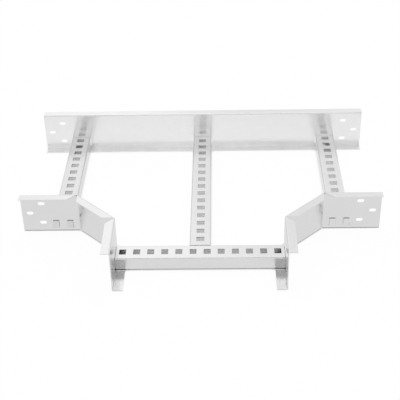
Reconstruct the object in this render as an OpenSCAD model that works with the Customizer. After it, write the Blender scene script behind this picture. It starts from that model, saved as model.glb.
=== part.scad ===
// Ladder cable tray tee: a straight back rail, two cranked corner rails and four perforated rungs.
// The run lies along X, the branch leaves towards -Y, and the bottom flanges stand on Z = 0.
// The origin is the middle of the bounding box, at its bottom.

/* [Run and branch] */
// Clear width of the run, between the rail webs
run_w = 300; // [200:5:600]
// Clear width of the branch, between the rail webs
branch_w = 300; // [200:5:600]
// Reach of each slanted corner, along the run and along the branch
corner = 75; // [50:1:150]
// Straight length of a corner rail at a run outlet
run_leg = 106; // [98:1:200]
// Straight length of a corner rail at the branch outlet
branch_leg = 106; // [98:1:200]

/* [Rails] */
// Height of the rails
rail_h = 80; // [70:1:120]
// Sheet thickness of the rails
rail_t = 1.5; // [1:0.1:2]
// Inner radius of every bend in the rails
rail_bend = 1; // [0.8:0.1:2.5]
// Depth of the relief cut past the flange bends, at each upright bend
bend_relief = 1; // [0.5:0.1:3]
// Thinning of the sheet at an upright bend, on each face
bend_thin = 0.05; // [0.03:0.01:0.1]
// Projection of the top flange, from the outer face of the web
top_flange = 15; // [8:0.5:30]
// Projection of the bottom flange, from the inner face of the web
bottom_flange = 17; // [10:0.5:40]

/* [Joint slots] */
// Width of the slots for the joint plate bolts
slot_w = 7; // [5:0.5:9]
// Length of the slots, end to end
slot_l = 13; // [10:0.5:16]
// Distance from the rail end to the upper and lower slots
slot_pair_inset = 38; // [32:0.5:42]
// Distance from the rail end to the middle slot
slot_mid_inset = 15; // [10:0.5:18]
// Height of the upper and lower slots above and below the middle one
slot_rise = 21; // [14:0.5:24]

/* [Rungs] */
// Width of a rung
rung_w = 38; // [34:0.5:45]
// Height of a rung
rung_h = 25; // [22:0.5:30]
// Sheet thickness of the rungs
rung_t = 1.5; // [1:0.1:2]
// Inner radius of every bend in the rungs
rung_bend = 1; // [0.8:0.1:2.5]
// Width of the lips turned in under a rung
rung_lip = 6; // [5.5:0.5:11]
// Distance from a run outlet to the middle of its rung
side_rung_inset = 75; // [72:0.5:80]
// Distance from the branch outlet to the middle of its rung
front_rung_inset = 76.5; // [72:0.5:80]

/* [Rung holes] */
// Pitch of the rectangular holes along a rung
hole_pitch = 25; // [20:0.5:40]
// Size of a hole along the rung
hole_l = 12.5; // [8:0.5:16]
// Size of a hole across the rung
hole_w = 14.5; // [8:0.5:18]
// Corner radius of a hole
hole_r = 1; // [0.5:0.1:2.5]
// Least distance from a rung end to the middle of a hole
hole_margin = 9; // [8.5:0.5:20]

/* [Tabs] */
// Height of the tabs on the rung side walls
tab_h = 15; // [8:0.5:16]
// Distance from the top bend of a rung down to its tabs
tab_shoulder = 1; // [0.3:0.1:2]
// Length of a tab that lies folded on the far face, with its bend
tab_fold = 11.5; // [8:0.5:13]
// Inner radius of the tab bend
tab_bend = 1; // [0.5:0.1:1.5]
// Clearance of a tab in its slot, on each side
tab_gap = 1; // [0.3:0.1:1.2]
// Gap that spring-back leaves under a folded tab
tab_lift = 0.6; // [0.1:0.1:0.9]
// Clearance between a rung end and what it meets: a web, the bend at its foot, or a rung wall
end_gap = 0.4; // [0.3:0.1:1]

/* [Hidden] */
$fn = 48;
// Room that a cut takes past a face, and depth to which a tab runs into its wall
eps = 0.5;
// Angle by which an upright bend reaches into the stretches beside it
bend_reach = 6;
steel = [0.85, 0.86, 0.86];

// Each bend of a corner rail turns by half of a right angle
turn = 45;
rail_out_r = rail_bend + rail_t;
rung_out_r = rung_bend + rung_t;
// Height of the lower end of an upright bend, and the same depth below the top at its upper end
bend_foot = rail_out_r + bend_relief;
// Length that a bend takes from the straight stretches on each side of it
bend_trim = rail_bend * tan(turn / 2);

// Overall sizes
run_l = branch_w + 2 * rail_t + 2 * corner + 2 * run_leg;
depth = branch_leg + corner + rail_t + run_w + rail_t + top_flange;

// Faces of the webs: outer face of the back rail, outer faces of the corner rails
back_y = depth / 2 - top_flange;
back_inner_y = back_y - rail_t;
run_front_y = back_inner_y - run_w - rail_t;
branch_end_y = -depth / 2;
branch_x = branch_w / 2 + rail_t;

// Places of the rungs
side_rung_x = run_l / 2 - side_rung_inset;
front_rung_y = branch_end_y + front_rung_inset;
side_rung_l = run_w - 2 * end_gap;
front_rung_l = branch_w - 2 * end_gap;
middle_back_y = back_inner_y - end_gap;
middle_front_y = front_rung_y + rung_w / 2 + end_gap;
middle_rung_l = middle_back_y - middle_front_y;

// Distance from a rung end to the far face of a rail web, or of a rung wall
rail_reach = end_gap + rail_t;
rung_reach = end_gap + rung_t;

// Tabs hang below the top bend of the rungs, on the flat part of their side walls
tab_z = rail_t + rung_h - rung_out_r - tab_shoulder - tab_h / 2;
// A tab slot runs from the bend's inner end to the outer face of the rung
tab_slot_w = rung_t + tab_bend + 2 * tab_gap;
tab_slot_x = rung_w / 2 - (rung_t + tab_bend) / 2;

slot_mid_z = rail_h / 2;

// Sheet bent by a right angle, as a quarter ring in the first quadrant
module quarter_ring(inner_r, t) {
    intersection() {
        difference() {
            circle(r = inner_r + t);
            circle(r = inner_r);
        }
        square(inner_r + t);
    }
}

// Z section of a rail: outer face of the web on x = 0, inside of the tray towards +x
module rail_section() {
    translate([0, rail_out_r])
        square([rail_t, rail_h - 2 * rail_out_r]);
    translate([rail_out_r, rail_out_r])
        rotate(180)
            quarter_ring(rail_bend, rail_t);
    translate([rail_out_r, 0])
        square([rail_t + bottom_flange - rail_out_r, rail_t]);
    translate([-rail_bend, rail_h - rail_out_r])
        quarter_ring(rail_bend, rail_t);
    translate([-top_flange, rail_h - rail_t])
        square([top_flange - rail_bend, rail_t]);
}

// Straight stretch of rail along +x, with the outer face of its web on y = 0
module rail_stretch(length) {
    rotate([90, 0, 90])
        linear_extrude(length)
            rail_section();
}

// Oblong hole along x through a web whose outer face is on y = 0
module joint_slot() {
    round_x = (slot_l - slot_w) / 2;
    rotate([-90, 0, 0])
        translate([0, 0, -eps])
            linear_extrude(rail_t + 2 * eps)
                union() {
                    square([2 * round_x, slot_w], center = true);
                    for (side = [-1, 1])
                        translate([side * round_x, 0])
                            circle(d = slot_w);
                }
}

// The three joint slots of a rail end on x = 0, with the rail towards +x
module joint_slots() {
    for (rise = [-slot_rise, slot_rise])
        translate([slot_pair_inset, 0, slot_mid_z + rise])
            joint_slot();
    translate([slot_mid_inset, 0, slot_mid_z])
        joint_slot();
}

// The two slots for the tabs of a rung centred on x = 0, through a wall from y = 0 to y = wall_t
module tab_slots(wall_t) {
    for (side = [-1, 1])
        translate([side * tab_slot_x, wall_t / 2, tab_z])
            cube([tab_slot_w, wall_t + 2 * eps, tab_h + 2 * tab_gap], center = true);
}

// V cut that takes a top flange back at a bend on x = 0, with the stretch towards +x
module flange_notch() {
    reach = top_flange + rail_t + eps;
    translate([0, rail_t, rail_h - bend_foot])
        linear_extrude(bend_foot + eps)
            polygon([[-eps, eps], [reach, -reach], [-eps, -reach]]);
}

// Upright bend of a web: it starts along +x, turns towards -y and reaches into the stretches on both sides
module web_bend() {
    translate([0, -rail_bend, bend_foot])
        rotate(90 - turn - bend_reach)
            rotate_extrude(angle = turn + 2 * bend_reach)
                translate([rail_bend + bend_thin, 0])
                    square([rail_t - 2 * bend_thin, rail_h - 2 * bend_foot]);
}

// Straight rail behind the run
module back_rail() {
    color(steel)
        translate([run_l / 2, back_y, 0])
            rotate(180)
                difference() {
                    rail_stretch(run_l);
                    joint_slots();
                    translate([run_l, 0, 0])
                        mirror([1, 0, 0])
                            joint_slots();
                    for (place = [-side_rung_x, 0, side_rung_x])
                        translate([run_l / 2 + place, 0, 0])
                            tab_slots(rail_t);
                }
}

// Straight leg of a corner rail: outlet on x = 0, bend on x = length, rung_inset to its rung
module elbow_leg(length, rung_inset) {
    straight = length - bend_trim;
    difference() {
        rail_stretch(straight);
        joint_slots();
        translate([rung_inset, 0, 0])
            tab_slots(rail_t);
        translate([straight, 0, 0])
            mirror([1, 0, 0])
                flange_notch();
    }
    translate([straight, 0, 0])
        web_bend();
}

// Slanted stretch of a corner rail between its two bends, from x = 0
module elbow_slant() {
    straight = corner * sqrt(2) - 2 * bend_trim;
    translate([bend_trim, 0, 0])
        difference() {
            rail_stretch(straight);
            flange_notch();
            translate([straight, 0, 0])
                mirror([1, 0, 0])
                    flange_notch();
        }
}

// Corner rail on the left, from the run outlet to the branch outlet
module elbow_rail() {
    translate([-run_l / 2, run_front_y, 0])
        elbow_leg(run_leg, side_rung_inset);
    translate([-branch_x - corner, run_front_y, 0])
        rotate(-turn)
            elbow_slant();
    translate([-branch_x, branch_end_y, 0])
        rotate(90)
            mirror([0, 1, 0])
                elbow_leg(branch_leg, front_rung_inset);
}

module left_elbow_rail() {
    color(steel)
        elbow_rail();
}

module right_elbow_rail() {
    color(steel)
        mirror([1, 0, 0])
            elbow_rail();
}

// C section of a rung, open below, standing on y = 0
module rung_section() {
    flat_w = rung_w - 2 * rung_out_r;
    translate([-flat_w / 2, rung_h - rung_t])
        square([flat_w, rung_t]);
    for (side = [0, 1])
        mirror([side, 0]) {
            translate([flat_w / 2, rung_h - rung_out_r])
                quarter_ring(rung_bend, rung_t);
            translate([rung_w / 2 - rung_t, rung_out_r])
                square([rung_t, rung_h - 2 * rung_out_r]);
            translate([flat_w / 2, rung_out_r])
                rotate(-90)
                    quarter_ring(rung_bend, rung_t);
            translate([rung_w / 2 - rung_lip, 0])
                square([rung_lip - rung_out_r, rung_t]);
        }
}

// Rectangular hole with rounded corners, long side across the rung
module rung_hole() {
    square([hole_w - 2 * hole_r, hole_l], center = true);
    square([hole_w, hole_l - 2 * hole_r], center = true);
    for (x = [-1, 1], y = [-1, 1])
        translate([x * (hole_w / 2 - hole_r), y * (hole_l / 2 - hole_r)])
            circle(r = hole_r);
}

// The two tabs at a rung end on y = 0, folded on a wall's far face at y = reach
module tabs(reach) {
    neck = reach + tab_lift - tab_bend;
    for (side = [0, 1])
        mirror([side, 0, 0])
            translate([0, 0, tab_z - tab_h / 2])
                linear_extrude(tab_h)
                    union() {
                        translate([rung_w / 2 - rung_t, -eps])
                            square([rung_t, neck + eps]);
                        translate([rung_w / 2 - rung_t - tab_bend, neck])
                            quarter_ring(tab_bend, rung_t);
                        translate([rung_w / 2 - tab_fold, neck + tab_bend])
                            square([tab_fold - rung_t - tab_bend, rung_t]);
                    }
}

// Cut in the foot of a rung end on y = 0, which clears the bend at the foot of a web
module foot_cut() {
    translate([-rung_w / 2 - eps, -rail_bend, rail_t - eps])
        cube([rung_w + 2 * eps, rail_bend + eps, rail_bend + end_gap + eps]);
}

// Perforated rung along y, centred, with tabs that reach to the far faces of the walls at its ends
module rung(length, front_reach, back_reach) {
    holes = floor((length - 2 * hole_margin) / hole_pitch) + 1;
    difference() {
        translate([0, length / 2, rail_t])
            rotate([90, 0, 0])
                linear_extrude(length)
                    rung_section();
        for (i = [0 : holes - 1])
            translate([0, (i - (holes - 1) / 2) * hole_pitch, rail_t + rung_h - rung_t - eps])
                linear_extrude(rung_t + 2 * eps)
                    rung_hole();
        for (end = [0, 1])
            mirror([0, end, 0])
                translate([0, length / 2, 0])
                    foot_cut();
    }
    translate([0, length / 2, 0])
        tabs(back_reach);
    translate([0, -length / 2, 0])
        mirror([0, 1, 0])
            tabs(front_reach);
}

module side_rung() {
    translate([0, back_inner_y - run_w / 2, 0])
        rung(side_rung_l, rail_reach, rail_reach);
}

module left_rung() {
    color(steel)
        translate([-side_rung_x, 0, 0])
            side_rung();
}

module right_rung() {
    color(steel)
        translate([side_rung_x, 0, 0])
            side_rung();
}

module middle_rung() {
    color(steel)
        translate([0, (middle_back_y + middle_front_y) / 2, 0])
            rung(middle_rung_l, rung_reach, rail_reach);
}

// Rung across the branch, slotted in its back wall for the tabs of the middle rung
module front_rung() {
    color(steel)
        translate([0, front_rung_y, 0])
            difference() {
                rotate(90)
                    rung(front_rung_l, rail_reach, rail_reach);
                translate([0, rung_w / 2 - rung_t, 0])
                    tab_slots(rung_t);
            }
}

back_rail();
left_elbow_rail();
right_elbow_rail();
left_rung();
middle_rung();
right_rung();
front_rung();
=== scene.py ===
import math

import bpy
from mathutils import Matrix, Vector


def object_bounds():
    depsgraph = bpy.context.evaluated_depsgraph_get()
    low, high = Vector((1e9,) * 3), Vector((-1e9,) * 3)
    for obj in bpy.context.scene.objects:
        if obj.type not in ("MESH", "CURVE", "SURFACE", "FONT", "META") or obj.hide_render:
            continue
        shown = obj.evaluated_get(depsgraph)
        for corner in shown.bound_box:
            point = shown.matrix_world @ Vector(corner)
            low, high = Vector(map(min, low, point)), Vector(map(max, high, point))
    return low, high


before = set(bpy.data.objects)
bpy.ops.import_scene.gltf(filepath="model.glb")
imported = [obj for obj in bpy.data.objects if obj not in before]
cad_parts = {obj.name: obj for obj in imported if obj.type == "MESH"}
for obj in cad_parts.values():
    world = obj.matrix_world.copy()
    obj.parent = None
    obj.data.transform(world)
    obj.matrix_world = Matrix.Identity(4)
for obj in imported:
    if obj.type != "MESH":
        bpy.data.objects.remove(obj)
cad_low, cad_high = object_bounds()

# Camera: place in metres, angles in degrees, lens and sensor in millimetres.
CAMERA_PLACE = Vector((0.03894, -1.54203, 1.05324))
CAMERA_PITCH = 33.81
CAMERA_YAW = -1.54
CAMERA_ROLL = -1.39
CAMERA_LENS = 86.87
SENSOR_WIDTH = 36.0

# Floor: a large white square just below the object, lengths in metres.
FLOOR_SIZE = 40.0
FLOOR_DROP = 0.0003
FLOOR_WHITE = 0.96
FLOOR_GLOW = 0.97
# Each shade on it: how far it looks for the object, and the openness at which it is full and is gone.
WIDE_SHADE = (0.05, 0.10, 0.36)
CONTACT_SHADE = (0.008, 0.10, 0.70)
OPENNESS_SAMPLES = 16
# Its light in reflections: up to a place along Y far in front of the object, between two places at the
# object's front, and from a place at its back on. It changes evenly from one to the next.
MIRRORED_FAR = (-0.75, 0.10)
MIRRORED_FRONT = (-0.40, -0.10, 0.82)
MIRRORED_BACK = (0.15, 0.89)

# Surround: even light with soft round panels in it, angles in degrees.
SURROUND = 0.70
# Each panel: azimuth from +Y towards +X, height, radius of its core and of its rim, light that it adds.
PANELS = {
    "back_left": (-40.0, 35.0, 29.0, 35.0, 0.42),
    "back_right": (35.0, 35.0, 10.0, 45.0, 0.50),
    "left": (-90.0, 25.0, 25.0, 55.0, -0.25),
    "right": (90.0, 25.0, 25.0, 55.0, -0.12),
    "front": (182.0, 21.0, 14.0, 19.0, 0.68),
    "front_top": (180.0, 73.0, 6.0, 14.0, 1.00),
    "front_high": (179.0, 51.0, 8.0, 20.0, -0.64),
    "above": (0.0, 85.0, 15.0, 45.0, 0.30),
}

# Lamp: one wide lamp overhead, in metres and watts.
LAMP_PLACE = Vector((0.0, 0.5, 2.6))
LAMP_SIZE = (3.0, 2.0)
LAMP_POWER = 26.0

# Zinc on the sheets: plain, in its darker patches and along worn edges; and painted shade for narrow gaps.
ZINC = (0.86, 0.86, 0.86)
ZINC_DARK = (0.83, 0.83, 0.83)
ZINC_WORN = (0.92, 0.92, 0.92)
PAINTED_GAP_SHADE = (0.30, 0.30, 0.30)

# Each sheet: its long direction, which its rolling marks follow, its mean roughness, and how bright its
# zinc is beside the plain one.
SHEETS = {
    "back_rail": ("X", 0.195, 1.09),
    "left_elbow_rail": ("XY", 0.20, 1.0),
    "right_elbow_rail": ("XY", 0.20, 1.0),
    "left_rung": ("Y", 0.22, 0.93),
    "middle_rung": ("Y", 0.22, 0.96),
    "right_rung": ("Y", 0.22, 1.02),
    "front_rung": ("X", 0.22, 1.0),
}
# Turns of a sheet up to this angle, in degrees, are shaded smooth.
SMOOTH_ANGLE = 35.0

# Patterns of the zinc, sizes in metres: crystals, clouds, fine grain, and streaks along the sheet.
SPANGLE_SIZE = 0.007
SPANGLE_SOFTNESS = 0.35
CLOUD_SIZE = 0.05
CLOUD_DETAIL = 3.0
GRAIN_SIZE = 0.0012
STREAK_SIZE = 0.0016
STREAK_LENGTH = 0.25
FINE_DETAIL = 2.0
# Values of a pattern between which its effect grows, and how far the patterns move from sheet to sheet.
PATTERN_RANGE = (0.3, 0.7)
PATTERN_STEP = (0.37, 0.21, 0.13)
# Darker patches: the clouds' part in them, the rest being crystals, and the most dark zinc that they hold.
CLOUD_PART = 0.6
DARK_MOST = 0.45
# Most that one pattern adds to the roughness or takes from it.
ROUGHNESS_SPAN = 0.015
# Bump: the grain's part in it, the rest being streaks, its strength and its depth in metres.
GRAIN_PART = 0.5
BUMP_STRENGTH = 0.05
BUMP_DEPTH = 0.0002

# Worn edges: width in metres, cosines of the turns at which the wear is full and is gone, values of the
# clouds and the amounts of wear that go with them, and how much smoother full wear is.
WEAR_WIDTH = 0.0007
WEAR_SAMPLES = 4
WEAR_TURN = (0.80, 0.98)
WEAR_CLOUDS = (0.35, 0.65)
WEAR_AMOUNTS = (0.25, 0.9)
WEAR_POLISH = 0.06

# Brushed sheets blur reflections across their rolling marks. Each direction lies across the sheet, on its
# web and its flanges alike.
BRUSHED = {"back_rail": (0.0, 0.7, 0.7)}
BRUSHING = 0.8

# Sheets with painted shade, a dark colour in narrow gaps such as those round the rungs' tabs; how far it
# looks for the other side of a gap, in metres, and the openness at which the painted shade is full and is
# gone.
SHEETS_WITH_PAINTED_SHADE = ("left_elbow_rail", "right_elbow_rail")
GAP_SHADE_REACH = 0.0025
GAP_SHADE_RANGE = (0.35, 0.75)


class Nodes:
    """A node tree with short calls for adding and joining nodes."""

    def __init__(self, tree):
        self.tree = tree
        tree.nodes.clear()

    def add(self, kind, **settings):
        node = self.tree.nodes.new(kind)
        for key, value in settings.items():
            setattr(node, key, value)
        return node

    def join(self, source, target):
        self.tree.links.new(source, target)

    def put(self, value, socket):
        if isinstance(value, bpy.types.NodeSocket):
            self.join(value, socket)
        else:
            socket.default_value = value

    def math(self, operation, first, second):
        node = self.add("ShaderNodeMath", operation=operation)
        self.put(first, node.inputs[0])
        self.put(second, node.inputs[1])
        return node.outputs[0]

    def mix(self, first, second, part):
        """The first value for its part, and the second for the rest."""
        rest = self.math("MULTIPLY", second, 1.0 - part)
        return self.math("ADD", self.math("MULTIPLY", first, part), rest)

    def spread(self, value, low, high, to_low, to_high):
        """Take a value from one range to another, and no further."""
        node = self.add("ShaderNodeMapRange", clamp=True)
        for place, item in enumerate((value, low, high, to_low, to_high)):
            self.put(item, node.inputs[place])
        return node.outputs[0]

    def tint(self, factor, first, second):
        """Blend two colours, each a tuple or a socket."""
        node = self.add("ShaderNodeMix", data_type="RGBA")
        self.put(factor, node.inputs[0])
        for item, socket in ((first, node.inputs[6]), (second, node.inputs[7])):
            self.put((*item, 1.0) if isinstance(item, tuple) else item, socket)
        return node.outputs[2]

    def noise(self, place, size, detail):
        node = self.add("ShaderNodeTexNoise")
        self.join(place, node.inputs["Vector"])
        node.inputs["Scale"].default_value = 1.0 / size
        node.inputs["Detail"].default_value = detail
        return node.outputs["Fac"]

    def openness(self, reach, shut, free):
        """0 where other surfaces shut a place in, 1 where it is free of them."""
        node = self.add("ShaderNodeAmbientOcclusion", samples=OPENNESS_SAMPLES)
        node.inputs["Distance"].default_value = reach
        return self.spread(node.outputs["AO"], shut, free, 0.0, 1.0)

    def finish(self, kind, shader):
        self.join(shader.outputs[0], self.add(kind).inputs["Surface"])


def galvanised_sheet(name, along, roughness, bright, number):
    """Galvanised sheet: faint spangle, rolling marks, fine grain, polished edges, painted shade in some
    gaps.
    """
    material = bpy.data.materials.new("galvanised_" + name)
    material.use_nodes = True
    nodes = Nodes(material.node_tree)

    here = nodes.add("ShaderNodeTexCoord").outputs["Object"]
    shifted = nodes.add("ShaderNodeMapping")
    nodes.join(here, shifted.inputs["Vector"])
    shifted.inputs["Location"].default_value = tuple(step * number for step in PATTERN_STEP)
    place = shifted.outputs["Vector"]

    spangle = nodes.add("ShaderNodeTexVoronoi", feature="SMOOTH_F1")
    nodes.join(place, spangle.inputs["Vector"])
    spangle.inputs["Scale"].default_value = 1.0 / SPANGLE_SIZE
    spangle.inputs["Smoothness"].default_value = SPANGLE_SOFTNESS
    crystal = nodes.add("ShaderNodeSeparateColor")
    nodes.join(spangle.outputs["Color"], crystal.inputs[0])

    cloud = nodes.noise(place, CLOUD_SIZE, CLOUD_DETAIL)
    grain = nodes.noise(place, GRAIN_SIZE, FINE_DETAIL)

    stretched = nodes.add("ShaderNodeMapping")
    nodes.join(place, stretched.inputs["Vector"])
    stretched.inputs["Scale"].default_value = tuple(
        STREAK_SIZE / STREAK_LENGTH if axis in along else 1.0 for axis in "XYZ"
    )
    streak = nodes.noise(stretched.outputs["Vector"], STREAK_SIZE, FINE_DETAIL)

    rounded = nodes.add("ShaderNodeBevel", samples=WEAR_SAMPLES)
    rounded.inputs["Radius"].default_value = WEAR_WIDTH
    flat = nodes.add("ShaderNodeNewGeometry").outputs["Normal"]
    turned = nodes.add("ShaderNodeVectorMath", operation="DOT_PRODUCT")
    nodes.join(rounded.outputs["Normal"], turned.inputs[0])
    nodes.join(flat, turned.inputs[1])
    edge = nodes.spread(turned.outputs["Value"], *WEAR_TURN, 1.0, 0.0)
    worn = nodes.math("MULTIPLY", edge, nodes.spread(cloud, *WEAR_CLOUDS, *WEAR_AMOUNTS))

    patch = nodes.mix(cloud, crystal.outputs[0], CLOUD_PART)
    pale, dark = (tuple(bright * part for part in colour) for colour in (ZINC, ZINC_DARK))
    zinc_and_gap_shade = nodes.tint(nodes.spread(patch, *PATTERN_RANGE, 0.0, DARK_MOST), pale, dark)
    zinc_and_gap_shade = nodes.tint(worn, zinc_and_gap_shade, ZINC_WORN)
    # Painted shade: the colour turns dark in narrow gaps, such as round the rungs' tabs, where shade
    # falls.
    if name in SHEETS_WITH_PAINTED_SHADE:
        zinc_and_gap_shade = nodes.tint(nodes.openness(GAP_SHADE_REACH, *GAP_SHADE_RANGE), PAINTED_GAP_SHADE, zinc_and_gap_shade)

    rough = roughness
    for pattern in (crystal.outputs[1], streak, cloud):
        change = nodes.spread(pattern, *PATTERN_RANGE, -ROUGHNESS_SPAN, ROUGHNESS_SPAN)
        rough = nodes.math("ADD", change, rough)
    rough = nodes.math("SUBTRACT", rough, nodes.math("MULTIPLY", worn, WEAR_POLISH))

    bump = nodes.add("ShaderNodeBump")
    bump.inputs["Strength"].default_value = BUMP_STRENGTH
    bump.inputs["Distance"].default_value = BUMP_DEPTH
    nodes.join(nodes.mix(grain, streak, GRAIN_PART), bump.inputs["Height"])

    sheet = nodes.add("ShaderNodeBsdfPrincipled")
    sheet.inputs["Metallic"].default_value = 1.0
    nodes.join(zinc_and_gap_shade, sheet.inputs["Base Color"])
    nodes.join(rough, sheet.inputs["Roughness"])
    nodes.join(bump.outputs["Normal"], sheet.inputs["Normal"])
    if name in BRUSHED:
        across = nodes.add("ShaderNodeCombineXYZ")
        for part, socket in zip(BRUSHED[name], across.inputs):
            socket.default_value = part
        nodes.join(across.outputs[0], sheet.inputs["Tangent"])
        sheet.inputs["Anisotropic"].default_value = BRUSHING
    nodes.finish("ShaderNodeOutputMaterial", sheet)
    return material


def floor_material():
    """White floor that glows for the camera and for reflections, and less where the object shuts it in."""
    material = bpy.data.materials.new("studio_floor")
    material.use_nodes = True
    nodes = Nodes(material.node_tree)
    path = nodes.add("ShaderNodeLightPath").outputs
    seen = nodes.math("MAXIMUM", path["Is Camera Ray"], path["Is Glossy Ray"])
    seen = nodes.math("MAXIMUM", seen, path["Is Transmission Ray"])
    share = FLOOR_GLOW
    for shade in (WIDE_SHADE, CONTACT_SHADE):
        share = nodes.math("MULTIPLY", nodes.openness(*shade), share)

    place = nodes.add("ShaderNodeSeparateXYZ")
    nodes.join(nodes.add("ShaderNodeNewGeometry").outputs["Position"], place.inputs[0])
    far_y, far_light = MIRRORED_FAR
    front_start, front_end, front_light = MIRRORED_FRONT
    back_y, back_light = MIRRORED_BACK
    front = nodes.spread(place.outputs["Y"], far_y, front_start, far_light, front_light)
    mirrored = nodes.spread(place.outputs["Y"], front_end, back_y, front, back_light)

    glow = nodes.add("ShaderNodeEmission")
    nodes.join(nodes.math("MAXIMUM", path["Is Camera Ray"], mirrored), glow.inputs["Strength"])
    matte = nodes.add("ShaderNodeBsdfDiffuse")
    matte.inputs["Color"].default_value = (FLOOR_WHITE, FLOOR_WHITE, FLOOR_WHITE, 1.0)
    blend = nodes.add("ShaderNodeMixShader")
    nodes.join(nodes.math("MULTIPLY", seen, share), blend.inputs[0])
    nodes.join(matte.outputs[0], blend.inputs[1])
    nodes.join(glow.outputs[0], blend.inputs[2])
    nodes.finish("ShaderNodeOutputMaterial", blend)
    return material


def make_floor():
    half = FLOOR_SIZE / 2
    mesh = bpy.data.meshes.new("studio_floor")
    corners = [(-half, -half, 0.0), (half, -half, 0.0), (half, half, 0.0), (-half, half, 0.0)]
    mesh.from_pydata(corners, [], [(0, 1, 2, 3)])
    mesh.materials.append(floor_material())
    floor = bpy.data.objects.new("studio_floor", mesh)
    floor.location.z = cad_low.z - FLOOR_DROP
    bpy.context.scene.collection.objects.link(floor)


def aim(azimuth, height):
    """Unit vector at an azimuth from +Y towards +X and a height above the floor, both in radians."""
    level = math.cos(height)
    return Vector((math.sin(azimuth) * level, math.cos(azimuth) * level, math.sin(height)))


def make_surround():
    """Even light from all round, with soft round panels that add to it or take from it."""
    world = bpy.data.worlds.new("studio")
    bpy.context.scene.world = world
    world.use_nodes = True
    nodes = Nodes(world.node_tree)
    way = nodes.add("ShaderNodeTexCoord").outputs["Generated"]
    strength = SURROUND
    for *angles, added in PANELS.values():
        azimuth, height, core, rim = (math.radians(angle) for angle in angles)
        facing = nodes.add("ShaderNodeVectorMath", operation="DOT_PRODUCT")
        nodes.join(way, facing.inputs[0])
        facing.inputs[1].default_value = aim(azimuth, height)
        panel = nodes.spread(facing.outputs["Value"], math.cos(rim), math.cos(core), 0.0, added)
        strength = nodes.math("ADD", panel, strength)
    light = nodes.add("ShaderNodeBackground")
    nodes.join(strength, light.inputs["Strength"])
    nodes.finish("ShaderNodeOutputWorld", light)


def make_lamp():
    """Soft light from overhead, kept out of reflections so that top faces don't turn white from above."""
    lamp = bpy.data.lights.new("overhead", "AREA")
    lamp.shape = "RECTANGLE"
    lamp.size, lamp.size_y = LAMP_SIZE
    lamp.energy = LAMP_POWER
    overhead = bpy.data.objects.new("overhead", lamp)
    overhead.location = LAMP_PLACE
    overhead.visible_glossy = False
    bpy.context.scene.collection.objects.link(overhead)


def make_camera():
    pitch, yaw, roll = (math.radians(angle) for angle in (CAMERA_PITCH, CAMERA_YAW, CAMERA_ROLL))
    ahead = aim(yaw, -pitch)
    level = Vector((math.cos(yaw), -math.sin(yaw), 0.0))
    upright = level.cross(ahead)
    right = level * math.cos(roll) + upright * math.sin(roll)
    up = upright * math.cos(roll) - level * math.sin(roll)
    data = bpy.data.cameras.new("camera")
    data.lens = CAMERA_LENS
    data.sensor_width = SENSOR_WIDTH
    data.dof.use_dof = False
    camera = bpy.data.objects.new("camera", data)
    turn = Matrix((right, up, -ahead)).transposed().to_4x4()
    camera.matrix_world = Matrix.Translation(CAMERA_PLACE) @ turn
    bpy.context.scene.collection.objects.link(camera)
    bpy.context.scene.camera = camera


def dress_nodes():
    """Give each CAD node its own sheet material, smooth over its bends."""
    for number, (name, (along, roughness, bright)) in enumerate(SHEETS.items()):
        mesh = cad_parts[name].data
        mesh.materials.clear()
        mesh.materials.append(galvanised_sheet(name, along, roughness, bright, number))
        mesh.shade_smooth()
        mesh.set_sharp_from_angle(angle=math.radians(SMOOTH_ANGLE))


bpy.context.scene.view_settings.view_transform = "Standard"
make_camera()
make_floor()
make_surround()
make_lamp()
dress_nodes()
